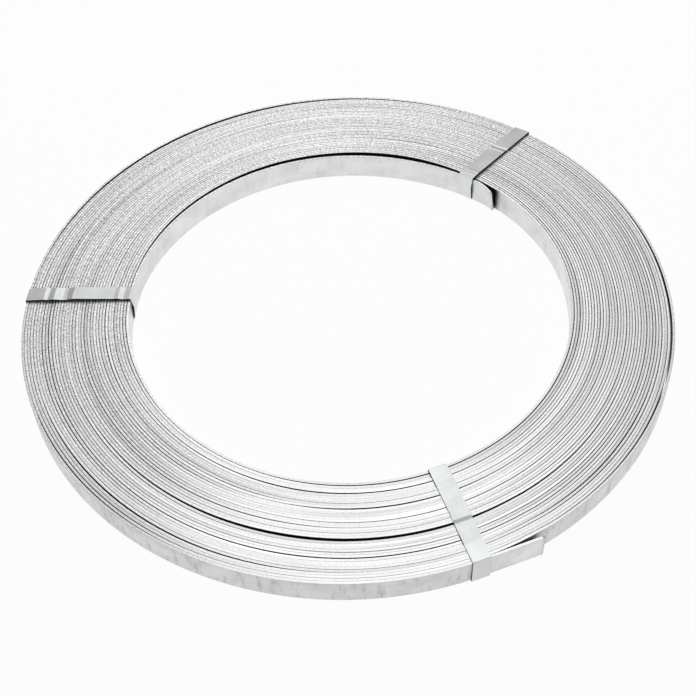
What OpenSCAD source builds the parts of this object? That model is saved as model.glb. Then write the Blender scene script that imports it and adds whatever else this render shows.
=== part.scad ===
// Coil of flat galvanised earthing strip, lying on its side and tied by three steel straps.
// The origin is the middle of the coil's eye on the floor, +Z is up.

/* [Strip] */
// Width of the flat strip, which is the height of the coil
strip_w = 30; // [20:1:40]
// Thickness of the strip
strip_t = 3; // [2:0.1:5]
// Bevel along the strip's four edges
strip_edge = 0.5; // [0.2:0.05:0.8]

/* [Coil] */
// Radius of the eye, to the inner face of the first turn
eye_r = 236.5; // [150:1:350]
// Turns of strip wound on each other
turns = 36; // [10:1:60]
// Zinc and air between two turns
turn_gap = 0.07; // [0.02:0.01:0.4]
// How far the highest bundle of turns stands above the lowest
bundle_lift = 3; // [0:0.1:4]

/* [Loose turns] */
// Widest gap that the first turn leaves to the next one, between the rear and the left strap
first_turn_gap = 4; // [0.5:0.1:8]
// Gap outside the tallest bundle, at the front
bundle_gap = 1.6; // [1.2:0.1:2.4]

/* [Ends of the strip] */
// Where the outer end leaves the coil, counted round the eye
outer_end_angle = 289.5; // [270:1:310]
// Length of the outer end that stands free
outer_end_l = 61; // [20:1:120]
// Where the inner end starts to bend into the eye
inner_end_angle = 50; // [30:1:70]
// Length of the inner end that bends into the eye
inner_end_l = 31; // [10:1:60]
// Radius of that bend, to its hollow face
inner_end_bend_r = 45; // [30:1:120]

/* [Straps] */
// Width of the strap
strap_w = 19; // [13:1:32]
// Thickness of the strap
strap_t = 0.5; // [0.4:0.1:1]
// Room between a strap and the strip
strap_clear = 0.1; // [0.05:0.01:0.3]
// Length of the welded lap under the coil
strap_lap = 40; // [20:1:60]
// Width over which a strap slopes from one bundle down to the next
strap_slope = 8; // [3:0.5:12]
// Place of the rear strap round the eye
rear_strap_angle = 52; // [48:1:75]
// Place of the left strap round the eye
left_strap_angle = 174.5; // [150:1:200]
// How far each strap is turned out of the radial line
front_strap_skew = -2; // [-8:0.5:8]
rear_strap_skew = -5.5; // [-8:0.5:8]
left_strap_skew = 3.5; // [-8:0.5:8]

/* [Hidden] */
$fn = 180;

// Bundles of turns from the eye outwards: outer edge as a share of the turns, height as a share of the lift
bundles = [[0.08, 0.15], [0.2, 0.6], [0.62, 1], [0.7, 0.4], [0.82, 0], [1, 0.5]];
pitch = strip_t + turn_gap;
last_turn = turns - 1;
half_turn = 180;
// The strip lies on the straps and on their laps
coil_z = 2 * strap_t + strap_clear;
// The spiral is made of half turns about two centres that lie half a pitch apart
centre_step = pitch / 4;
// Lengths of the first turn are joined at hairlines by tenons, which reach this far into both sides
hairline = 0.1;
tenon_l = 4;
// The joints lie this far inside the edge of the strap that covers them
joint_cover = 0.6;
// The outer end leaves the coil under the front strap
front_strap_angle = outer_end_angle;
// The gap outside the tallest bundle runs this far to both sides of the seam
bundle_gap_back = 90;
bundle_gap_on = 50;
// Cutters reach this far past both faces
overshoot = 5;
zinc = [0.78, 0.79, 0.79];
strap_steel = [0.72, 0.74, 0.74];

// Inner face of a turn in the half that starts at the seam
function turn_r(turn) = eye_r + turn * pitch;
function bundle_of(turn) = min([
    for (b = [0:len(bundles) - 1])
        if (b == len(bundles) - 1 || (turn + 0.5) / turns < bundles[b][0]) b
]);
function lift(turn) = bundle_lift * bundles[bundle_of(turn)][1];
function arc_turn(length, r) = length / r * half_turn / PI;
function polar(r, angle) = r * [cos(angle), sin(angle)];
function angle_of(p) = (atan2(p.y, p.x) + 360) % 360;
// How far round from the seam an angle lies
function from_seam(angle) = (angle - outer_end_angle + 720) % 360;
function in_first_half(angle) = from_seam(angle) < half_turn;
// Radius from the origin at which a ray at that angle meets a turn's inner face
function place_r(turn, angle) =
    turn_r(turn) + (in_first_half(angle) ? 0 : pitch / 2)
    + (in_first_half(angle) ? -1 : 1) * centre_step * cos(from_seam(angle));
// Centre of the circle through three points
function arc_centre(a, b, c) =
    let (d = 2 * (a.x * (b.y - c.y) + b.x * (c.y - a.y) + c.x * (a.y - b.y)))
    [
        (a * a * (b.y - c.y) + b * b * (c.y - a.y) + c * c * (a.y - b.y)) / d,
        (a * a * (c.x - b.x) + b * b * (a.x - c.x) + c * c * (b.x - a.x)) / d
    ];
function backwards(list) = [for (i = [len(list) - 1:-1:0]) list[i]];

// Edge line of one face of the coil, from the eye outwards. side is 1 on top and -1 below.
function face_line(first, last, shift, side) = [
    for (turn = [first:last])
        let (
            r_in = turn_r(turn) + shift,
            r_out = r_in + (turn == last ? strip_t : pitch),
            here = side * lift(turn),
            before = turn == first ? here - strip_w : side * lift(turn - 1),
            after = turn == last ? here - strip_w : side * lift(turn + 1)
        )
        each [
            if (turn > first) [r_in, min(before, here) - strip_edge],
            if (here > before) [r_in, here - strip_edge],
            [r_in + strip_edge, here],
            [r_out - strip_edge, here],
            if (here > after) [r_out, here - strip_edge]
        ]
];

// Section through the turns first to last, with a groove where two turns meet
module turns_section(first, last, shift) {
    top = face_line(first, last, shift, 1);
    bottom = face_line(first, last, shift, -1);
    polygon(concat(
        [for (p = top) [p.x, coil_z + strip_w + p.y]],
        [for (p = backwards(bottom)) [p.x, coil_z - p.y]]
    ));
}

// The spiral is drawn with its seam on the X axis. The first turn is added by itself.
module first_half() {
    translate([-centre_step, 0, 0])
        rotate_extrude(angle = half_turn)
        turns_section(1, last_turn, 0);
}

module second_half() {
    translate([centre_step, 0, 0])
        rotate(half_turn)
        rotate_extrude(angle = half_turn)
        turns_section(1, last_turn, pitch / 2);
}

// The straight outer end leaves the last turn along its tangent
module outer_end() {
    translate([pitch - centre_step, outer_end_l, 0])
        rotate([90, 0, 0])
        linear_extrude(outer_end_l)
        turns_section(last_turn, last_turn, 0);
}

// A length of the first turn with its inner face at r, counted round the centre of its own arc
module first_turn_arc(r, from, to) {
    rotate(from) rotate_extrude(angle = to - from) turns_section(0, 0, r - turn_r(0));
}

module tenon(r, at) {
    rotate(at - arc_turn(tenon_l, r))
        rotate_extrude(angle = arc_turn(2 * tenon_l, r))
        translate([r + strip_t / 4, coil_z + lift(0) + strip_w / 4])
        square([strip_t / 2, strip_w / 2]);
}

// The bent tip, the length under the rear strap, the loose length and the length that lies on the next turn
module first_turn() {
    cover = arc_turn(strap_w / 2 - joint_cover, eye_r);
    rear = strap_foot(rear_strap_angle, rear_strap_skew) + cover;
    left = strap_foot(left_strap_angle, left_strap_skew) - cover;
    rear_joint = polar(place_r(0, rear), from_seam(rear));
    left_joint = polar(place_r(0, left), from_seam(left));
    middle = polar(
        (place_r(0, rear) + place_r(0, left)) / 2 - first_turn_gap,
        (from_seam(rear) + from_seam(left)) / 2
    );
    loose_centre = arc_centre(rear_joint, middle, left_joint);
    loose_r = norm(rear_joint - loose_centre);
    loose_from = angle_of(rear_joint - loose_centre);
    loose_to = angle_of(left_joint - loose_centre);
    hair = arc_turn(hairline, loose_r);
    first_centre = [-centre_step, 0];
    second_centre = [centre_step, 0];
    tip = from_seam(inner_end_angle);
    translate(first_centre) {
        first_turn_arc(turn_r(0), tip, angle_of(rear_joint - first_centre));
        rotate(tip) translate([turn_r(0) - inner_end_bend_r, 0, 0]) {
            first_turn_arc(
                inner_end_bend_r,
                -arc_turn(inner_end_l, inner_end_bend_r),
                -arc_turn(hairline, inner_end_bend_r)
            );
            tenon(inner_end_bend_r, 0);
        }
    }
    translate(loose_centre) {
        first_turn_arc(loose_r, loose_from + hair, loose_to - hair);
        tenon(loose_r, loose_from);
        tenon(loose_r, loose_to);
    }
    translate(second_centre) mirror([0, 1, 0])
        first_turn_arc(turn_r(0) + pitch / 2, 0, 360 - angle_of(left_joint - second_centre));
}

// A gap that follows the turns to both sides of the seam
module gap_outside(turn) {
    height = strip_w + bundle_lift + 2 * overshoot;
    r = turn_r(turn + 1) - (turn_gap + bundle_gap) / 2;
    translate([-centre_step, 0, coil_z - overshoot])
        rotate_extrude(angle = bundle_gap_on)
        translate([r + pitch, 0])
        square([bundle_gap, height]);
    translate([centre_step, 0, coil_z - overshoot])
        mirror([0, 1, 0])
        rotate_extrude(angle = bundle_gap_back)
        translate([r + pitch / 2, 0])
        square([bundle_gap, height]);
}

module strip_coil() {
    tallest = max([for (turn = [0:last_turn]) if (bundles[bundle_of(turn)][1] == 1) turn]);
    color(zinc) rotate(outer_end_angle) difference() {
        union() {
            first_half();
            second_half();
            outer_end();
            first_turn();
        }
        gap_outside(tallest);
    }
}

// Height of the turns under a strap. At the seam two turns share a place.
function strap_h(turn, angle) = from_seam(angle) == 0
    ? max(lift(max(turn - 1, 0)), lift(min(turn, last_turn)))
    : lift(turn);

// Middle of the wound ring under a strap, about which the strap is turned
function strap_middle(first, last, angle) = (place_r(first, angle) + place_r(last, angle) + strip_t) / 2;

// Distance along a turned strap, from that middle, to where a line beside its middle line has the radius r
function strap_end(middle, skew, beside, r) =
    -middle * cos(skew)
    + sqrt(pow(r, 2) - pow(middle * sin(skew), 2) - pow(beside, 2) + 2 * beside * middle * sin(abs(skew)));

// Angle at which the middle line of a turned strap meets the eye
function strap_foot(angle, skew) =
    let (
        middle = strap_middle(0, last_turn, angle),
        end = strap_end(middle, skew, 0, place_r(0, angle))
    )
    angle + atan2(end * sin(skew), middle + end * cos(skew));

// Top line of a strap: flat over each bundle, sloping down on to a lower one. Flats reach past their bundle.
function strap_line(angle, first, last, past) =
    let (starts = [
        for (turn = [first:last])
            if (turn == first || strap_h(turn, angle) != strap_h(turn - 1, angle)) turn
    ])
    [for (i = [0:len(starts) - 1])
        let (
            end = i == len(starts) - 1 ? last + 1 : starts[i + 1],
            here = strap_h(starts[i], angle),
            before = i == 0 ? here : strap_h(starts[i] - 1, angle),
            after = end > last ? here : strap_h(end, angle),
            r_in = place_r(starts[i], angle),
            r_out = place_r(end, angle),
            slope = past + min(strap_slope, 0.4 * (r_out - r_in))
        )
        each [
            [r_in + (here < before ? slope : -past), here],
            [r_out - (here < after ? slope : -past), here]
        ]
    ];

// A strap round the coil, with its welded lap underneath
module strap(angle, skew, first, last) {
    half_w = strap_w / 2;
    middle = strap_middle(first, last, angle);
    line = strap_line(angle, first, last, half_w * sin(abs(skew)));
    final = len(line) - 1;
    // The flat strap touches the round eye with an edge, and the outside within its width
    x_in = middle + strap_end(middle, skew, -half_w, place_r(first, angle) - strap_clear);
    touch = min(half_w, middle * sin(abs(skew)));
    x_out = middle + strap_end(middle, skew, touch, place_r(last, angle) + strip_t + strap_clear);
    strap_top = coil_z + strip_w + strap_clear;
    under = 2 * strap_t;
    inner = concat(
        [[x_in, under]],
        [for (i = [0:final]) [i == 0 ? x_in : i == final ? x_out : line[i].x, strap_top + line[i].y]],
        [[x_out, under]]
    );
    lap = (x_in + x_out) / 2;
    outer = concat(
        [for (i = [0:len(inner) - 1])
            let (
                side = i < 2 ? -1 : i > final ? 1 : 0,
                up = i == 0 || i == len(inner) - 1 ? -1 : 1
            )
            [inner[i].x + side * strap_t, inner[i].y + up * strap_t]],
        [
            [lap + strap_lap / 2, strap_t],
            [lap + strap_lap / 2, 0],
            [lap - strap_lap / 2, 0],
            [lap - strap_lap / 2, strap_t]
        ]
    );
    color(strap_steel)
        rotate(angle)
        translate([middle, 0, 0])
        rotate(skew)
        translate([-middle, half_w, 0])
        rotate([90, 0, 0])
        linear_extrude(strap_w)
        difference() {
            polygon(outer);
            polygon(inner);
        }
}

module strap_front() { strap(front_strap_angle, front_strap_skew, 1, turns); }
module strap_left() { strap(left_strap_angle, left_strap_skew, 0, last_turn); }
module strap_rear() { strap(rear_strap_angle, rear_strap_skew, 0, last_turn); }

strip_coil();
strap_front();
strap_left();
strap_rear();
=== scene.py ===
"""Looks of a coil of flat galvanised strip, wound turn by turn and tied by three steel straps."""

import math

import bpy
import numpy as np
from mathutils import Matrix, Vector


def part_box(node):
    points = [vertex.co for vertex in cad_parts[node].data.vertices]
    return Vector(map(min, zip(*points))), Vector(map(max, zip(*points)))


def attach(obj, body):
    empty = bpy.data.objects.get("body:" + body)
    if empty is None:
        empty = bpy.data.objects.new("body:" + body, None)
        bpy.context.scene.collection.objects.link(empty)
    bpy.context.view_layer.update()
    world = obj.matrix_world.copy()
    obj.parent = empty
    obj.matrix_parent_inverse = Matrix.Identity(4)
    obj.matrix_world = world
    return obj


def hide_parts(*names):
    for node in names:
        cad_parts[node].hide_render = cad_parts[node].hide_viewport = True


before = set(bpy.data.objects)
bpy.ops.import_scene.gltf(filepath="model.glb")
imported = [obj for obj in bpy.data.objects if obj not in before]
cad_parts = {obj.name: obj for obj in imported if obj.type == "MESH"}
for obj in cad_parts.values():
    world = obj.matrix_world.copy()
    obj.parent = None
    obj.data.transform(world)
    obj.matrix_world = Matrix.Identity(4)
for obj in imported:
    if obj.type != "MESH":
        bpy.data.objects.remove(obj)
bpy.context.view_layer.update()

MM = 0.001
FULL_TURN = 360.0
BLACK = (0.0, 0.0, 0.0, 1.0)
WHITE = (1.0, 1.0, 1.0, 1.0)

# Sides of the coil, in degrees round the eye from +X
RIGHT = 0.0
FRONT = 270.0

# Strip, in millimetres
STRIP_T = 2.88
STRIP_W = 30.0
STRIP_CORNER_R = 0.42
PRESSED_CORNER_R = 0.12
ROUND_CORNER_R = 0.62
CORNER_STEPS = 2

# Winding, in degrees counted on from turn to turn
WHOLE_TURNS = 35
INNER_TIP = 44.0
INNER_ROOT = 50.0
OUTER_ROOT = WHOLE_TURNS * FULL_TURN + 289.8
OUTER_TIP = WHOLE_TURNS * FULL_TURN + 299.8
WINDING_STEP = 2.0
PER_TURN = round(FULL_TURN / WINDING_STEP)
SEED = 7

# Free ends: finer steps near them, the painted shade in the gap behind the outer one, the inner one's
# curl and lean
END_STEP = 0.4
END_REACH = 12.0
END_SHADE_REACH = 3.0
INNER_CURL = 0.0058
INNER_LEAN = 8.0

# The eye isn't quite round: angle and radius of the first turn's inner face, eased over the corners
EYE_LINE = (
    (42.0, 241.9),
    (52.0, 241.2),
    (62.0, 238.0),
    (75.0, 236.5),
    (140.0, 236.2),
    (165.0, 235.4),
    (205.0, 232.9),
    (235.0, 233.4),
    (270.0, 236.2),
    (330.0, 237.2),
    (355.0, 238.6),
    (378.0, 243.4),
    (404.0, 245.4),
)
EYE_EASE = 24.0
EYE_EASE_STEPS = 25

# The outside is round, a little flat on the right, and a turn less after the outer end
OUTSIDE_R = 347.5
FLAT_SIDE_R = 346.5
FLAT_SIDE_POWER = 12
END_STEP_DOWN = 2.4
END_STEP_TURN = 55.0

# Bundles of turns: last turn of the bundle, and its height above the lowest bundle
BUNDLES = ((2.9, 0.2), (7.2, 1.3), (21.4, 2.4), (25.2, 0.9), (29.5, 0.1), (36.0, 1.2))
BUNDLE_RAMP = 0.12
# The bundles stand highest here round the eye; across from it they lie level and this much lower
HIGH_SIDE = 300.0
LOW_SIDE_DROP = 0.9
HIGHEST_LIFT = 2.8
LOWEST_LIFT = -0.9

# The turns wander: by how much, and over which share of a turn
LIFT_WANDER = 0.12
LIFT_WANDER_TURNS = 0.23
LEAN_WANDER = 0.7
LEAN_WANDER_TURNS = 0.37
GAP_WANDER_TURNS = 0.17
# The outermost turns lean outwards at the front: how far at the top, from which turn on, how far round
TOP_OUT = 1.4
TOP_OUT_FROM = 26.0
TOP_OUT_FULL = 30.0
TOP_OUT_FADE = 60.0

# The loose first turn stands off the next one (turn, from, widest, to), and hangs this much lower there
LOOSE_TURN = (0, 36.0, 84.0, 168.0)
LOOSE_TURN_DROP = 1.2
# Places where two turns stand apart: inner turn, from, widest, to (degrees), share of the slack
CRESCENTS = (
    (*LOOSE_TURN, 12.0),
    (0, 195.0, 322.0, 365.0, 0.45),
    (3, 70.0, 95.0, 112.0, 0.5),
    (3, 196.0, 245.0, 372.0, 0.55),
    (8, 205.0, 243.0, 262.0, 0.45),
    (9, 52.0, 75.0, 100.0, 0.8),
    (9, 250.0, 272.0, 330.0, 0.45),
    (10, 200.0, 230.0, 252.0, 0.45),
    (14, 240.0, 302.0, 330.0, 0.2),
    (15, 195.0, 222.0, 262.0, 0.3),
    (16, 195.0, 240.0, 275.0, 0.45),
    (19, 70.0, 85.0, 108.0, 0.4),
    (20, 192.0, 252.0, 346.0, 0.9),
    (21, 68.0, 90.0, 112.0, 0.5),
    (21, 196.0, 215.0, 275.0, 0.35),
    (24, 80.0, 105.0, 125.0, 0.4),
    (26, 188.0, 250.0, 362.0, 0.4),
    (27, 88.0, 105.0, 125.0, 0.5),
    (27, 196.0, 212.0, 240.0, 0.3),
    (29, 288.0, 320.0, 352.0, 0.75),
    (31, 196.0, 228.0, 272.0, 0.9),
    (33, 200.0, 225.0, 252.0, 0.3),
    (33, 302.0, 374.0, 412.0, 2.2),
    (34, 56.0, 115.0, 168.0, 6.0),
    (34, 196.0, 218.0, 246.0, 0.7),
)
LEAST_SLACK = 0.3
# The other joints stand open at the left and right and are shut at the front and the back
SIDE_SHARE = 0.3
SHUT_SHARE = 0.015
SIDE_FROM = 0.25
SIDE_FULL = 0.85

# Painted shade in the joints: it starts at the first gap, and it is black when the gap is wider by the
# second
SHUT_GAP = 0.03
BLACK_GAP = 0.75
# Painted shade shows even a shut joint at the left and right: unevenly, and most on one side
GROOVE_SHADE_LEVEL = 0.7
GROOVE_SHADE_WANDER = 0.3
GROOVE_SHADE_WANDER_TURNS = 0.11
SIDE_GROOVE_SHADE = 0.78
MORE_GROOVE_SHADE = 0.5
SHADIEST_GROOVE_SIDE = 20.0
# The strip's corners are roundest here round the eye
ROUNDEST_SIDE = 30.0
# At the front the turns are pressed flush, with sharp corners
PRESSED_FROM = 0.7
PRESSED_FULL = 0.97
# The narrow edges are grainiest here round the eye, and across from it they are worn smooth by this share
GRAINY_SIDE = 120.0
POLISH = 0.78
# Painted light: the first turn is painted paler, with fainter streaks, and the outer end is by this
# share; the ramps are parts of a turn
LIT_AND_CLEAN_RAMP = 0.05
OUTER_END_LIT_AND_CLEAN = 0.7
OUTER_END_RAMP = 0.04

# Straps, in millimetres: section, lap under the coil, bends, lesser creases, and room to the strip
STRAP_W = 19.0
STRAP_T = 0.5
STRAP_EDGE = 0.1
STRAP_LAP = 40.0
STRAP_LAP_STEP = 6.0
STRAP_LAP_SHORT = 1.0
STRAP_BEND_R = 1.0
STRAP_CREASE_R = 0.7
STRAP_CLEAR = 0.1
STRAP_OUT_CLEAR = 0.4
# A bend takes up at most this share of the straight parts beside it
BEND_SHARE = 0.4
BEND_STEPS = 3
# In the eye a strap stands off the wall: in full at the belly, by this share at the foot
STRAP_BELLY_Z = 20.0
STRAP_FOOT_Z = 6.0
STRAP_FOOT_SHARE = 0.5
# A strap's tilt fades out this far below the top of the coil
STRAP_TILT_REACH = 3.0
# Painted light: how much paler its upright parts are painted, and how much paler it is painted on top
# where it rises outwards, within limits
STRAP_INSIDE_LIT_TONE = 0.82
STRAP_OUTSIDE_LIT_TONE = 0.72
STRAP_SLOPE_LIGHT = 1.5
STRAP_FALL_LIMIT = 0.02
STRAP_RISE_LIMIT = 0.07
# Each strap by its node. The angle is round the eye, the skew out of the radial line, both in degrees.
# The belly is how far it stands off the eye's wall, the tilt how much higher its edge further round is.
# The tone is how pale it is on top, a painted light: the front strap paler and the rear one darker by how
# the light falls on them. The top line is its higher edge: share of the way outwards, lift.
STRAPS = {
    "strap_front": {
        "angle": 289.5,
        "skew": -2.0,
        "belly": 0.5,
        "tilt": 0.0,
        "tone": 0.45,
        "top_line": (
            (0.0, 2.0),
            (0.16, 2.8),
            (0.36, 3.0),
            (0.566, 2.7),
            (0.6, 1.7),
            (0.81, 1.5),
            (1.007, 2.0),
        ),
    },
    "strap_left": {
        "angle": 174.5,
        "skew": 3.5,
        "belly": 2.2,
        "tilt": 1.6,
        "tone": 0.38,
        "top_line": (
            (0.0, 1.3),
            (0.012, 1.7),
            (0.075, 1.1),
            (0.12, 2.4),
            (0.16, 2.0),
            (0.56, 3.0),
            (0.61, 1.5),
            (0.65, 1.4),
            (0.735, 2.5),
            (0.79, 1.7),
            (0.83, 2.2),
            (1.0, 1.3),
        ),
    },
    "strap_rear": {
        "angle": 52.0,
        "skew": -5.5,
        "belly": 2.6,
        "tilt": -2.0,
        "tone": 0.32,
        "top_line": (
            (0.0, 1.5),
            (0.06, 2.6),
            (0.085, 2.5),
            (0.1, 3.0),
            (0.13, 2.8),
            (0.53, 2.7),
            (0.55, 3.0),
            (0.585, 1.9),
            (0.62, 2.2),
            (1.0, 1.8),
        ),
    },
}

# Metal: noise mostly lies between these two values, and noise scales are per metre
NOISE_LOW = 0.3
NOISE_HIGH = 0.7
METALLIC = 0.75

# Zinc of the strip: the narrow edges begin and are full this far (millimetres) from the strip's rims
NARROW_EDGE_FROM = 0.7
NARROW_EDGE_FULL = 0.1
# Speckle of the narrow edges: grain, and dashes along the strip
GRAIN_SCALE = 800.0
GRAIN_LOW = 0.32
GRAIN_HIGH = 0.68
GRAIN_SHARE = 0.6
DASH_SCALE = 330.0
DASH_SHARE = 0.4
# Slow changes along the strip, and streaks and clouds of the wide faces (along and up the strip)
TURN_TONE_SCALE = 2.5
STREAK_SCALES = (130.0, 28.0)
STREAK_FROM = 0.52
STREAK_FULL = 0.8
CLOUD_SCALES = (30.0, 40.0)
# How pale the zinc is, and how much each of these adds or takes away
WIDE_TONE = 0.7
NARROW_TONE = 0.53
SPECKLE_DEPTH = 0.42
TURN_TONE_DEPTH = 0.15
CLOUD_DEPTH = 0.09
PAINTED_LIGHT_GAIN = 0.14
STREAK_DEPTH = 0.36
CLEAN_STREAK_DEPTH = 0.12
JOINT_SHADE_DEPTH = 0.93
ZINC_COLOUR = (0.98, 0.99, 0.98, 1.0)
ZINC_ROUGHNESS = (0.25, 0.38)
ZINC_RELIEF = 0.0003

# Steel of the straps: brushed along their length and clouded
BRUSH_SCALES = (30.0, 900.0)
BRUSH_DEPTH = 0.03
STRAP_CLOUD_SCALE = 60.0
STRAP_CLOUD_DEPTH = 0.03
STRAP_UPRIGHT_FROM = 0.3
STRAP_UPRIGHT_FULL = 0.9
# Painted shade on the face that lies on the strip
STRAP_UNDERSIDE_SHADE_DEPTH = 0.9
STRAP_COLOUR = (0.96, 0.99, 0.985, 1.0)
STRAP_ROUGHNESS = (0.27, 0.35)
STRAP_RELIEF = 0.0001
STRAP_RELIEF_STRENGTH = 0.15

# Camera of the photograph: the image is square
IMAGE_PX = 696
FOCAL_PX = 1393.0
CAMERA_EYE = (-1.0, -1016.3, 1128.8)
CAMERA_ELEVATION = 49.058
CAMERA_ROLL = 2.248
SENSOR = 36.0

# Studio, in metres and watts
FLOOR_HALF = 30.0
FLOOR_TONE = 0.95
FLOOR_SHADOW = 0.05
WORLD_LIGHT = 0.45
KEY_PLACE = (0.08, 0.95, 2.2)
KEY_SIZE = (1.5, 1.1)
KEY_POWER = 9.0
BACK_PLACE = (0.0, 2.5, 1.8)
BACK_SIZE = (2.4, 0.8)
BACK_POWER = 10.0


def smooth_step(x, start=0.0, full=1.0):
    """0 up to the start and 1 from full on, with a soft start and end."""
    x = np.clip((x - start) / (full - start), 0.0, 1.0)
    return x * x * (3.0 - 2.0 * x)


def wander(length, turns, rng):
    """Smooth random line along the winding between -1 and 1, with a knot after every share of a turn."""
    spacing = turns * PER_TURN
    knots = rng.uniform(-1.0, 1.0, int(length / spacing) + 4)
    at = np.arange(length) / spacing
    low = np.floor(at).astype(int)
    blend = smooth_step(at - low)
    return knots[low] * (1.0 - blend) + knots[low + 1] * blend


def facing(phi, side):
    """1 at a side of the coil, -1 across from it, 0 halfway."""
    return np.cos(np.radians(phi - side))


def beside(phi):
    """1 at the left and right of the coil, 0 at its front and back."""
    return smooth_step(np.abs(facing(phi, RIGHT)), SIDE_FROM, SIDE_FULL)


def crescent(phi, turn, start, peak, end, gap):
    """Gap between a turn and the next one that opens and closes round the coil."""
    at = phi - turn * FULL_TURN
    return gap * np.minimum(smooth_step(at, start, peak), smooth_step(at, end, peak))


def eye_radius(phi):
    """Radius of the first turn's inner face, eased over the corners of its line."""
    angles, radii = zip(*EYE_LINE)
    reach = np.linspace(-EYE_EASE, EYE_EASE, EYE_EASE_STEPS)
    weight = np.cos(reach / EYE_EASE * math.pi / 2) ** 2
    around = np.interp(phi[:, None] + reach[None, :], angles, radii)
    return around @ (weight / weight.sum())


def outside_radius(phi):
    """Radius of the coil's outside."""
    flat = (0.5 + 0.5 * facing(phi, RIGHT)) ** FLAT_SIDE_POWER
    past_end = (phi - phi[-1] - WINDING_STEP / 2) % FULL_TURN
    step = END_STEP_DOWN * (1.0 - smooth_step(past_end / END_STEP_TURN))
    return OUTSIDE_R + (FLAT_SIDE_R - OUTSIDE_R) * flat - step


def joint_gaps(phi, first, rng):
    """Gap from each place on the strip to the next turn. All gaps at one angle share the coil's slack."""
    count = len(phi)
    column = np.arange(count) % PER_TURN
    has_next = np.arange(count) + PER_TURN < count
    uneven = 0.5 + 0.5 * wander(count, GAP_WANDER_TURNS, rng)
    share = sum(crescent(phi, *place) for place in CRESCENTS)
    share = (share + SHUT_SHARE + SIDE_SHARE * beside(phi) * uneven) * has_next

    def per_column(values):
        return np.bincount(column, weights=values, minlength=PER_TURN)[column]

    slack = outside_radius(phi) - first[column] - STRIP_T * per_column(np.ones(count))
    return np.maximum(slack, LEAST_SLACK) * share / per_column(share)


def turn_lift(phi, turn, rng):
    """How high each place on the strip stands, by its bundle and the side of the coil."""
    lift = np.full(len(phi), BUNDLES[0][1])
    for (edge, height), (_, following) in zip(BUNDLES, BUNDLES[1:]):
        lift += (following - height) * smooth_step((turn - edge) / BUNDLE_RAMP + 0.5)
    high = 0.5 + 0.5 * facing(phi, HIGH_SIDE)
    lift = lift * high - LOW_SIDE_DROP * (1.0 - high)
    lift += LIFT_WANDER * wander(len(phi), LIFT_WANDER_TURNS, rng)
    lift -= crescent(phi, *LOOSE_TURN, LOOSE_TURN_DROP)
    return np.clip(lift, LOWEST_LIFT, HIGHEST_LIFT)


def painted_joint_shade(phi, gap, rng):
    """Painted shade of the joint with the next turn, by its gap and by the side of the coil."""
    # Painted groove shade at the left and right, most on one side
    groove_shade = beside(phi) * (GROOVE_SHADE_LEVEL + GROOVE_SHADE_WANDER * wander(len(phi), GROOVE_SHADE_WANDER_TURNS, rng))
    groove_shade *= SIDE_GROOVE_SHADE + MORE_GROOVE_SHADE * facing(phi, SHADIEST_GROOVE_SIDE)
    return np.maximum(smooth_step((gap - SHUT_GAP) / BLACK_GAP), np.minimum(groove_shade, 1.0))


def top_outwards(phi, turn):
    """How far the strip's upper edge stands out over its lower one."""
    off_front = np.abs((phi - FRONT + FULL_TURN / 2) % FULL_TURN - FULL_TURN / 2)
    outermost = np.maximum((turn - TOP_OUT_FROM) / (turn[-1] - TOP_OUT_FROM), 0.0)
    return TOP_OUT * outermost * (1.0 - smooth_step((off_front - TOP_OUT_FULL) / TOP_OUT_FADE))


def lit_and_clean_share(turn):
    """Share of painted light and fainter streaks: 1 on the first turn, part of it on the outer end, 0
    between them.
    """
    first = 1.0 - smooth_step((turn - 1.0) / LIT_AND_CLEAN_RAMP + 0.5)
    return first + OUTER_END_LIT_AND_CLEAN * smooth_step((turn - turn[-1]) / OUTER_END_RAMP + 1.0)


def wind_strip():
    """The wound strip from its inner to its outer tip, as arrays by name."""
    rng = np.random.default_rng(SEED)
    count = int((OUTER_TIP - INNER_TIP) / WINDING_STEP) + 2
    phi = INNER_TIP + WINDING_STEP * np.arange(count)
    turn = (phi - INNER_TIP) / FULL_TURN
    radius = np.empty(count)
    radius[:PER_TURN] = eye_radius(phi[:PER_TURN])
    gap = joint_gaps(phi, radius[:PER_TURN], rng)
    for i in range(PER_TURN, count):
        radius[i] = radius[i - PER_TURN] + STRIP_T + gap[i - PER_TURN]

    lift = turn_lift(phi, turn, rng)
    # Painted shade of each joint with the next turn
    joint_shade = painted_joint_shade(phi, gap, rng)
    lean = np.radians(LEAN_WANDER) * wander(count, LEAN_WANDER_TURNS, rng)
    top_out = top_outwards(phi, turn)
    return {
        "phi": phi,
        "radius": radius + top_out / 2,
        "lift": lift,
        "lean": lean - np.arcsin(top_out / STRIP_W),
        "inside": np.concatenate((np.zeros(PER_TURN), joint_shade))[:count],
        "outside": np.where(np.arange(count) + PER_TURN < count, joint_shade, 0.0),
        "lit_and_clean": lit_and_clean_share(turn),
        "grainy": 1.0 - POLISH * smooth_step(0.5 - 0.5 * facing(phi, GRAINY_SIDE)),
        "rounder": np.maximum(facing(phi, ROUNDEST_SIDE), 0.0) ** 2,
        "pressed": smooth_step(facing(phi, FRONT), PRESSED_FROM, PRESSED_FULL),
    }


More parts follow.
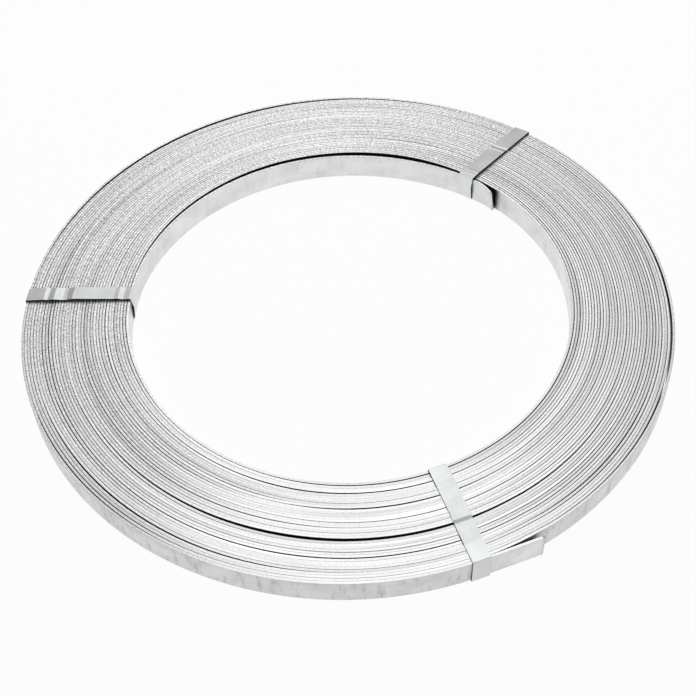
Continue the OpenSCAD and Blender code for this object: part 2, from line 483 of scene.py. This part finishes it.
def strip_path():
    """The winding with finer steps at both ends and with its two free ends bent."""
    winding = wind_strip()
    phi = winding["phi"]
    fine_in = np.arange(INNER_TIP, INNER_TIP + END_REACH, END_STEP)
    fine_out = np.linspace(OUTER_TIP - END_REACH, OUTER_TIP, int(END_REACH / END_STEP))
    middle = phi[(phi > fine_in[-1]) & (phi < fine_out[0])]
    at = np.concatenate((fine_in, middle, fine_out))
    path = {key: np.interp(at, phi, values) for key, values in winding.items()}

    beyond = np.maximum(INNER_ROOT - at, 0.0)
    path["radius"] -= INNER_CURL * (np.radians(beyond) * path["radius"]) ** 2
    path["lean"] += np.radians(INNER_LEAN) * smooth_step(beyond / (INNER_ROOT - INNER_TIP))
    root_r = np.interp(OUTER_ROOT, phi, winding["radius"])
    straight = root_r / np.cos(np.radians(at - OUTER_ROOT))
    path["radius"] = np.where(at > OUTER_ROOT, straight, path["radius"])

    # Painted shade: the outer end and the turn under it are painted dark where they face each other
    end_gap_shade = smooth_step((at - OUTER_ROOT) / END_SHADE_REACH)
    above = at + FULL_TURN
    covered_shade = smooth_step((above - OUTER_ROOT) / END_SHADE_REACH) * smooth_step((OUTER_TIP - above) / END_SHADE_REACH)
    path["inside"] = np.maximum(path["inside"], end_gap_shade)
    path["outside"] = np.maximum(path["outside"], covered_shade)
    return path


def strip_section(radius):
    """Points of the strip's section (outwards, up) from the foot of its inner face, and each one's side.

    The side is -1 on the inner face, 1 on the outer face and 0 on the narrow edges.
    """
    outer = STRIP_T - radius
    upper = STRIP_W - radius
    corners = (
        (radius, radius, 180.0),
        (outer, radius, 270.0),
        (outer, upper, 0.0),
        (radius, upper, 90.0),
    )
    points = []
    sides = []
    for centre_x, centre_z, first in corners:
        for step in range(CORNER_STEPS + 1):
            angle = math.radians(first + 90.0 * step / CORNER_STEPS)
            points.append((centre_x + radius * math.cos(angle), centre_z + radius * math.sin(angle)))
            sides.append(math.cos(angle))
    return np.array(points), np.array(sides)


def add_mesh(name, points, faces, material, attributes):
    """Mesh object from points in millimetres, shaded smooth with flat faces kept flat."""
    mesh = bpy.data.meshes.new(name)
    mesh.from_pydata(np.asarray(points) * MM, [], faces)
    mesh.validate()
    mesh.polygons.foreach_set("use_smooth", [True] * len(mesh.polygons))
    for key, values in attributes.items():
        layer = mesh.attributes.new(key, "FLOAT", "POINT")
        layer.data.foreach_set("value", np.asarray(values, dtype=np.float32).ravel())
    mesh.materials.append(material)
    mesh.update()
    piece = bpy.data.objects.new(name, mesh)
    bpy.context.scene.collection.objects.link(piece)
    weighted = piece.modifiers.new("weighted_normals", "WEIGHTED_NORMAL")
    weighted.keep_sharp = True
    return piece


def tube_faces(rings, sides):
    """Quads between neighbouring rings, and a cap on both ends."""
    faces = []
    for ring in range(rings - 1):
        here = ring * sides
        there = here + sides
        for side in range(sides):
            other = (side + 1) % sides
            faces.append((here + side, here + other, there + other, there + side))
    faces.append(tuple(range(sides - 1, -1, -1)))
    faces.append(tuple(range((rings - 1) * sides, rings * sides)))
    return faces


def length_along(line):
    """Length from the start of a line of points to each of them."""
    steps = np.linalg.norm(np.diff(line, axis=0), axis=1)
    return np.concatenate(([0.0], np.cumsum(steps)))


def unit_tangents(line):
    """Direction of a line of points at each of them."""
    tangent = np.gradient(line, axis=0)
    return tangent / np.linalg.norm(tangent, axis=1)[:, None]


def build_coil(material, base_z):
    """The strip as one piece: its section, sharper or rounder by place, drawn along the winding."""
    path = strip_path()
    section, section_side = strip_section(STRIP_CORNER_R)
    pressed_section, _ = strip_section(PRESSED_CORNER_R)
    round_section, _ = strip_section(ROUND_CORNER_R)
    pressed = (pressed_section - section) * path["pressed"][:, None, None]
    rounder = (round_section - section) * path["rounder"][:, None, None]
    section = section + pressed + rounder
    angle = np.radians(path["phi"])
    line = path["radius"][:, None] * np.stack((np.cos(angle), np.sin(angle)), axis=1)
    tangent = unit_tangents(line)
    outward = np.stack((tangent[:, 1], -tangent[:, 0]), axis=1)

    cos_lean = np.cos(path["lean"])[:, None]
    sin_lean = np.sin(path["lean"])[:, None]
    across = section[:, :, 0] - STRIP_T / 2
    up = section[:, :, 1] - STRIP_W / 2
    side = across * cos_lean - up * sin_lean + STRIP_T / 2
    height = across * sin_lean + up * cos_lean + STRIP_W / 2
    corners = len(section_side)
    points = np.empty((len(line), corners, 3))
    points[:, :, :2] = line[:, None, :] + side[:, :, None] * outward[:, None, :]
    points[:, :, 2] = base_z + path["lift"][:, None] + height

    # Painted shade of the joints, on the strip's outer and inner faces
    outer_side = np.maximum(section_side, 0.0)[None, :]
    inner_side = np.maximum(-section_side, 0.0)[None, :]
    joint_shade = path["outside"][:, None] * outer_side + path["inside"][:, None] * inner_side
    return add_mesh(
        "wound_strip",
        points.reshape(-1, 3),
        tube_faces(len(line), corners),
        material,
        {
            "along": np.repeat(length_along(line) * MM, corners),
            "height": section[:, :, 1] * MM,
            "joint_shade": joint_shade,
            "lit_and_clean": np.repeat(path["lit_and_clean"], corners),
            "grainy": np.repeat(path["grainy"], corners),
        },
    )


def radii_at(angle):
    """Inner radius of the first turn and outer radius of the last one that pass an angle."""
    winding = wind_strip()
    turns = np.arange(angle, OUTER_TIP, FULL_TURN)
    radii = np.interp(turns, winding["phi"], winding["radius"])
    return radii[0 if angle > INNER_TIP else 1], radii[-1] + STRIP_T


def rounded(corners, radii):
    """A line of points with each inner corner replaced by a small bend."""
    corners = np.array(corners)
    line = [corners[0]]
    for before, corner, after, radius in zip(corners, corners[1:], corners[2:], radii[1:]):
        ends = []
        for neighbour in (before, after):
            away = neighbour - corner
            length = np.linalg.norm(away)
            ends.append(corner + away / length * min(radius, BEND_SHARE * length))
        start, end = ends
        for share in np.linspace(0.0, 1.0, BEND_STEPS + 1):
            rest = 1.0 - share
            line.append(rest ** 2 * start + 2.0 * share * rest * corner + share ** 2 * end)
    line.append(corners[-1])
    return np.array(line)


def strap_ends(middle, skew, walls, aside):
    """Distances along a turned strap from the ring's middle to both walls, beside its own middle line."""
    off = middle * math.sin(skew)
    along = middle * math.cos(skew)
    return [math.sqrt(wall ** 2 - off ** 2 - aside ** 2 + 2 * aside * off) - along for wall in walls]


def strap_path(x_in, x_out, top_z, belly, top_line):
    """The strap's middle line (outwards, up) from the lower end of its lap to the upper."""
    lap = (x_in + x_out) / 2
    lap_in = lap - STRAP_LAP / 2
    lap_out = lap + STRAP_LAP / 2
    low = STRAP_T / 2
    high = low + STRAP_T
    foot_in = (x_in, high)
    foot_out = (x_out, high)
    top = [(x_in + share * (x_out - x_in), top_z + lift) for share, lift in top_line]
    corners = [
        (lap_out, low),
        (lap_in, low),
        (lap_in - STRAP_LAP_STEP, high),
        foot_in,
        (x_in - STRAP_FOOT_SHARE * belly, STRAP_FOOT_Z),
        (x_in - belly, STRAP_BELLY_Z),
        *top,
        foot_out,
        (lap_out + STRAP_LAP_STEP, high),
        (lap_in + STRAP_LAP_SHORT, high),
    ]
    bends = (foot_in, top[0], top[-1], foot_out)
    return rounded(corners, [STRAP_BEND_R if corner in bends else STRAP_CREASE_R for corner in corners])


def strap_section():
    """Points of the strap's section (across, out of its face), with bevelled edges."""
    half_w = STRAP_W / 2
    half_t = STRAP_T / 2
    flat_w = half_w - STRAP_EDGE
    flat_t = half_t - STRAP_EDGE
    return np.array((
        (-half_w, -flat_t),
        (-flat_w, -half_t),
        (flat_w, -half_t),
        (half_w, -flat_t),
        (half_w, flat_t),
        (flat_w, half_t),
        (-flat_w, half_t),
        (-half_w, flat_t),
    ))


def strap_attributes(path, section, tone):
    """What the strap's material reads at each point."""
    rise = unit_tangents(path)[:, 1]
    slope = np.clip(rise, -STRAP_FALL_LIMIT, STRAP_RISE_LIMIT)
    # Painted light: the upright parts paler, more inside the eye than outside
    lit_wall_tone = np.where(path[:, 0] < 0.0, STRAP_INSIDE_LIT_TONE, STRAP_OUTSIDE_LIT_TONE)
    return {
        "along": np.repeat(length_along(path) * MM, len(section)),
        "across": np.tile(section[:, 0] * MM, len(path)),
        # Painted shade on the faces that lie on the strip
        "shaded_underside": np.tile(section[:, 1] < STRAP_T / 2, len(path)),
        "upright": np.repeat(np.abs(rise), len(section)),
        # Painted light: facets that rise outwards paler
        "tone": np.repeat(tone + STRAP_SLOPE_LIGHT * slope, len(section)),
        "lit_wall_tone": np.repeat(lit_wall_tone, len(section)),
    }


def build_strap(name, strap, material, base_z):
    """A strap round the coil's section, from its lap through the eye and over the turns."""
    turn = math.radians(strap["angle"])
    skew = math.radians(strap["skew"])
    eye, outside = radii_at(strap["angle"])
    middle = (eye + outside) / 2
    walls = (eye - STRAP_T / 2 - STRAP_CLEAR, outside + STRAP_T / 2 + STRAP_OUT_CLEAR)
    x_in, x_out = strap_ends(middle, skew, walls, 0.0)
    top_z = base_z + STRIP_W + STRAP_T / 2 + STRAP_CLEAR
    path = strap_path(x_in, x_out, top_z, strap["belly"], strap["top_line"])
    tangent = unit_tangents(path)
    normal = np.stack((-tangent[:, 1], tangent[:, 0]), axis=1)
    section = strap_section()
    flat = path[:, None, :] + section[None, :, 1:2] * normal[:, None, :]

    # The strap's two ends follow the round walls from one long edge to the other
    edge_in, edge_out = np.array([strap_ends(middle, skew, walls, aside) for aside in section[:, 0]]).T
    share = (path[:, :1] - x_in) / (x_out - x_in)
    flat[:, :, 0] += (1.0 - share) * (edge_in - x_in) + share * (edge_out - x_out)

    centre = middle * np.array((math.cos(turn), math.sin(turn)))
    lengthwise = np.array((math.cos(turn + skew), math.sin(turn + skew)))
    sideways = np.array((-math.sin(turn + skew), math.cos(turn + skew)))
    points = np.empty((len(path), len(section), 3))
    points[:, :, :2] = centre + flat[:, :, 0:1] * lengthwise + section[None, :, 0:1] * sideways
    on_top = smooth_step((path[:, 1] - top_z) / STRAP_TILT_REACH + 1.0)
    tilt = strap["tilt"]
    lowered = 0.5 * abs(tilt) - 0.5 * tilt * section[:, 0] / (STRAP_W / 2)
    points[:, :, 2] = flat[:, :, 1] - on_top[:, None] * lowered[None, :]
    return add_mesh(
        name,
        points.reshape(-1, 3),
        tube_faces(len(path), len(section)),
        material,
        strap_attributes(path, section, strap["tone"]),
    )


class Nodes:
    """Short calls for building a material's node tree."""

    def __init__(self, name):
        self.material = bpy.data.materials.new(name)
        self.material.use_nodes = True
        self.tree = self.material.node_tree
        self.tree.nodes.clear()

    def add(self, kind, **settings):
        node = self.tree.nodes.new("ShaderNode" + kind)
        for key, value in settings.items():
            setattr(node, key, value)
        return node

    def link(self, source, target):
        self.tree.links.new(source, target)

    def feed(self, socket, value):
        if isinstance(value, bpy.types.NodeSocket):
            self.link(value, socket)
        else:
            socket.default_value = value

    def attribute(self, name):
        return self.add("Attribute", attribute_name=name).outputs["Fac"]

    def math(self, operation, a, b=0.0):
        node = self.add("Math", operation=operation)
        self.feed(node.inputs[0], a)
        self.feed(node.inputs[1], b)
        return node.outputs[0]

    def plus(self, first, second):
        return self.math("ADD", first, second)

    def minus(self, first, second):
        return self.math("SUBTRACT", first, second)

    def product(self, first, *others):
        for other in others:
            first = self.math("MULTIPLY", first, other)
        return first

    def vector(self, x, y, z=0.0):
        node = self.add("CombineXYZ")
        for socket, value in zip(node.inputs, (x, y, z)):
            self.feed(socket, value)
        return node.outputs[0]

    def noise(self, vector, scale, detail, roughness):
        node = self.add("TexNoise")
        self.link(vector, node.inputs["Vector"])
        node.inputs["Scale"].default_value = scale
        node.inputs["Detail"].default_value = detail
        node.inputs["Roughness"].default_value = roughness
        return node.outputs["Fac"]

    def spread(self, value, low, high, to_low, to_high):
        node = self.add("MapRange")
        self.feed(node.inputs["Value"], value)
        for key, end in (("From Min", low), ("From Max", high), ("To Min", to_low), ("To Max", to_high)):
            self.feed(node.inputs[key], end)
        return node.outputs["Result"]

    def spread_noise(self, noise, to_low, to_high):
        return self.spread(noise, NOISE_LOW, NOISE_HIGH, to_low, to_high)

    def mix(self, factor, a, b):
        node = self.add("Mix", data_type="RGBA")
        self.feed(node.inputs["Factor"], factor)
        colour_a, colour_b = [socket for socket in node.inputs if socket.type == "RGBA"]
        self.feed(colour_a, a)
        self.feed(colour_b, b)
        return [socket for socket in node.outputs if socket.type == "RGBA"][0]

    def metal(self, colour, roughness, relief, relief_height, relief_strength=1.0):
        """A metal surface from its colour, roughness and relief."""
        shader = self.add("BsdfPrincipled")
        self.link(colour, shader.inputs["Base Color"])
        shader.inputs["Metallic"].default_value = METALLIC
        self.link(roughness, shader.inputs["Roughness"])
        bump = self.add("Bump")
        bump.inputs["Strength"].default_value = relief_strength
        bump.inputs["Distance"].default_value = relief_height
        self.link(relief, bump.inputs["Height"])
        self.link(bump.outputs["Normal"], shader.inputs["Normal"])
        self.link(shader.outputs["BSDF"], self.add("OutputMaterial").inputs["Surface"])


def galvanised_material():
    """Zinc: grainy on the strip's narrow edges, streaked on its wide faces, with painted shade where two
    turns meet and painted light on the first turn and the outer end.
    """
    nodes = Nodes("galvanised_zinc")
    along = nodes.attribute("along")
    height = nodes.attribute("height")
    lit_and_clean = nodes.attribute("lit_and_clean")
    grainy = nodes.attribute("grainy")
    place = nodes.add("TexCoord").outputs["Object"]
    off_middle = nodes.math("ABSOLUTE", nodes.minus(height, STRIP_W / 2 * MM))
    edge_from = (STRIP_W / 2 - NARROW_EDGE_FROM) * MM
    edge_full = (STRIP_W / 2 - NARROW_EDGE_FULL) * MM
    narrow_edge = nodes.spread(off_middle, edge_from, edge_full, 0.0, 1.0)
    wide_face = nodes.minus(1.0, narrow_edge)

    def noise_along(scale):
        at = nodes.vector(nodes.product(along, scale), 0.0)
        return nodes.noise(at, 1.0, detail=2.0, roughness=0.6)

    def noise_on_face(scales, detail, roughness):
        at = nodes.vector(nodes.product(along, scales[0]), nodes.product(height, scales[1]))
        return nodes.noise(at, 1.0, detail, roughness)

    grain = nodes.noise(place, GRAIN_SCALE, detail=2.0, roughness=0.7)
    speckle = nodes.spread(grain, GRAIN_LOW, GRAIN_HIGH, -GRAIN_SHARE, GRAIN_SHARE)
    dash = nodes.spread_noise(noise_along(DASH_SCALE), -DASH_SHARE, DASH_SHARE)
    speckle = nodes.plus(speckle, dash)
    turn_tone = nodes.spread_noise(noise_along(TURN_TONE_SCALE), -1.0, 1.0)
    streak = noise_on_face(STREAK_SCALES, detail=4.0, roughness=0.65)
    streak = nodes.spread(streak, STREAK_FROM, STREAK_FULL, 0.0, 1.0)
    cloud = nodes.spread_noise(noise_on_face(CLOUD_SCALES, detail=3.0, roughness=0.55), -1.0, 1.0)

    tone = nodes.spread(narrow_edge, 0.0, 1.0, WIDE_TONE, NARROW_TONE)
    tone = nodes.plus(tone, nodes.product(speckle, narrow_edge, grainy, SPECKLE_DEPTH))
    tone = nodes.plus(tone, nodes.product(turn_tone, narrow_edge, TURN_TONE_DEPTH))
    tone = nodes.plus(tone, nodes.product(cloud, wide_face, CLOUD_DEPTH))
    # Painted light: the first turn and the outer end paler
    tone = nodes.plus(tone, nodes.product(lit_and_clean, wide_face, PAINTED_LIGHT_GAIN))
    streak_depth = nodes.spread(lit_and_clean, 0.0, 1.0, STREAK_DEPTH, CLEAN_STREAK_DEPTH)
    tone = nodes.minus(tone, nodes.product(streak, wide_face, streak_depth))
    # Painted shade in the joints
    shade = nodes.product(nodes.attribute("joint_shade"), JOINT_SHADE_DEPTH)
    tone = nodes.product(tone, nodes.minus(1.0, shade))
    colour = nodes.mix(tone, BLACK, ZINC_COLOUR)
    roughness = nodes.spread_noise(grain, *ZINC_ROUGHNESS)
    nodes.metal(colour, roughness, nodes.product(grain, grainy), ZINC_RELIEF)
    return nodes.material


def strap_material():
    """Steel strap: lightly brushed along its length, clouded, with painted shade on the face that lies on
    the strip and painted light on its upright parts and rising facets.
    """
    nodes = Nodes("strap_zinc")
    along = nodes.product(nodes.attribute("along"), BRUSH_SCALES[0])
    across = nodes.product(nodes.attribute("across"), BRUSH_SCALES[1])
    brushed = nodes.noise(nodes.vector(along, across), 1.0, detail=3.0, roughness=0.6)
    place = nodes.add("TexCoord").outputs["Object"]
    cloud = nodes.noise(place, STRAP_CLOUD_SCALE, detail=3.0, roughness=0.5)
    cloud = nodes.spread_noise(cloud, -1.0, 1.0)

    # Painted light: the upright parts paler than the top
    tone = nodes.spread(
        nodes.attribute("upright"),
        STRAP_UPRIGHT_FROM,
        STRAP_UPRIGHT_FULL,
        nodes.attribute("tone"),
        nodes.attribute("lit_wall_tone"),
    )
    tone = nodes.plus(tone, nodes.product(cloud, STRAP_CLOUD_DEPTH))
    tone = nodes.plus(tone, nodes.spread_noise(brushed, -BRUSH_DEPTH, BRUSH_DEPTH))
    # Painted shade on the face that lies on the strip
    shade = nodes.product(nodes.attribute("shaded_underside"), STRAP_UNDERSIDE_SHADE_DEPTH)
    tone = nodes.product(tone, nodes.minus(1.0, shade))
    colour = nodes.mix(tone, BLACK, STRAP_COLOUR)
    roughness = nodes.spread_noise(brushed, *STRAP_ROUGHNESS)
    nodes.metal(colour, roughness, brushed, STRAP_RELIEF, STRAP_RELIEF_STRENGTH)
    return nodes.material


def seen_directly(tree):
    """1 for rays that show the background itself: from the camera, in metal or through glass."""
    path = tree.nodes.new("ShaderNodeLightPath")
    seen = path.outputs["Is Camera Ray"]
    for name in ("Is Glossy Ray", "Is Transmission Ray"):
        either = tree.nodes.new("ShaderNodeMath")
        either.operation = "MAXIMUM"
        tree.links.new(seen, either.inputs[0])
        tree.links.new(path.outputs[name], either.inputs[1])
        seen = either.outputs[0]
    return seen


def floor_material():
    """A pale floor that looks white and keeps part of the object's shadow."""
    nodes = Nodes("pale_floor")
    diffuse = nodes.add("BsdfDiffuse")
    diffuse.inputs["Color"].default_value = (FLOOR_TONE, FLOOR_TONE, FLOOR_TONE, 1.0)
    white = nodes.add("Emission")
    white.inputs["Strength"].default_value = 1.0
    blend = nodes.add("MixShader")
    nodes.link(nodes.product(seen_directly(nodes.tree), 1.0 - FLOOR_SHADOW), blend.inputs["Fac"])
    nodes.link(diffuse.outputs[0], blend.inputs[1])
    nodes.link(white.outputs[0], blend.inputs[2])
    nodes.link(blend.outputs[0], nodes.add("OutputMaterial").inputs["Surface"])
    return nodes.material


def build_floor():
    half = FLOOR_HALF
    corners = [(-half, -half, 0), (half, -half, 0), (half, half, 0), (-half, half, 0)]
    mesh = bpy.data.meshes.new("floor")
    mesh.from_pydata(corners, [], [(0, 1, 2, 3)])
    mesh.materials.append(floor_material())
    floor = bpy.data.objects.new("floor", mesh)
    bpy.context.scene.collection.objects.link(floor)


def add_background(tree, strength):
    """A white background of the world, as a shader's output."""
    shader = tree.nodes.new("ShaderNodeBackground")
    shader.inputs["Color"].default_value = WHITE
    shader.inputs["Strength"].default_value = strength
    return shader.outputs[0]


def build_world():
    """Soft light from all around, seen as plain white."""
    world = bpy.data.worlds.new("studio")
    bpy.context.scene.world = world
    world.use_nodes = True
    tree = world.node_tree
    tree.nodes.clear()
    blend = tree.nodes.new("ShaderNodeMixShader")
    output = tree.nodes.new("ShaderNodeOutputWorld")
    tree.links.new(seen_directly(tree), blend.inputs["Fac"])
    tree.links.new(add_background(tree, WORLD_LIGHT), blend.inputs[1])
    tree.links.new(add_background(tree, 1.0), blend.inputs[2])
    tree.links.new(blend.outputs[0], output.inputs["Surface"])


def add_area_light(name, place, size, power):
    """A lamp that looks at the middle of the coil."""
    data = bpy.data.lights.new(name, "AREA")
    data.shape = "RECTANGLE"
    data.size, data.size_y = size
    data.energy = power
    lamp = bpy.data.objects.new(name, data)
    bpy.context.scene.collection.objects.link(lamp)
    lamp.location = place
    lamp.rotation_euler = (-Vector(place)).to_track_quat("-Z", "Y").to_euler()


def build_camera():
    data = bpy.data.cameras.new("camera")
    data.sensor_fit = "HORIZONTAL"
    data.sensor_width = SENSOR
    data.lens = SENSOR * FOCAL_PX / IMAGE_PX
    camera = bpy.data.objects.new("camera", data)
    bpy.context.scene.collection.objects.link(camera)
    elevation = math.radians(CAMERA_ELEVATION)
    roll = math.radians(CAMERA_ROLL)
    forward = Vector((0.0, math.cos(elevation), -math.sin(elevation)))
    right = Vector((1.0, 0.0, 0.0))
    up = right.cross(forward)
    axis_x = math.cos(roll) * right - math.sin(roll) * up
    axis_y = math.sin(roll) * right + math.cos(roll) * up
    turn = Matrix((axis_x, axis_y, -forward)).transposed()
    camera.matrix_world = Matrix.Translation(Vector(CAMERA_EYE) * MM) @ turn.to_4x4()
    bpy.context.scene.camera = camera


def dress(piece, node):
    """Lets a piece stand for a node of the frame."""
    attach(piece, "root")
    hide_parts(node)


base_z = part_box("strip_coil")[0].z / MM
dress(build_coil(galvanised_material(), base_z), "strip_coil")
steel = strap_material()
for node, strap in STRAPS.items():
    tie = build_strap("tie_" + node.split("_")[1], strap, steel, base_z)
    dress(tie, node)

build_floor()
build_world()
add_area_light("key", KEY_PLACE, KEY_SIZE, KEY_POWER)
add_area_light("back", BACK_PLACE, BACK_SIZE, BACK_POWER)
build_camera()
bpy.context.scene.view_settings.view_transform = "Standard"
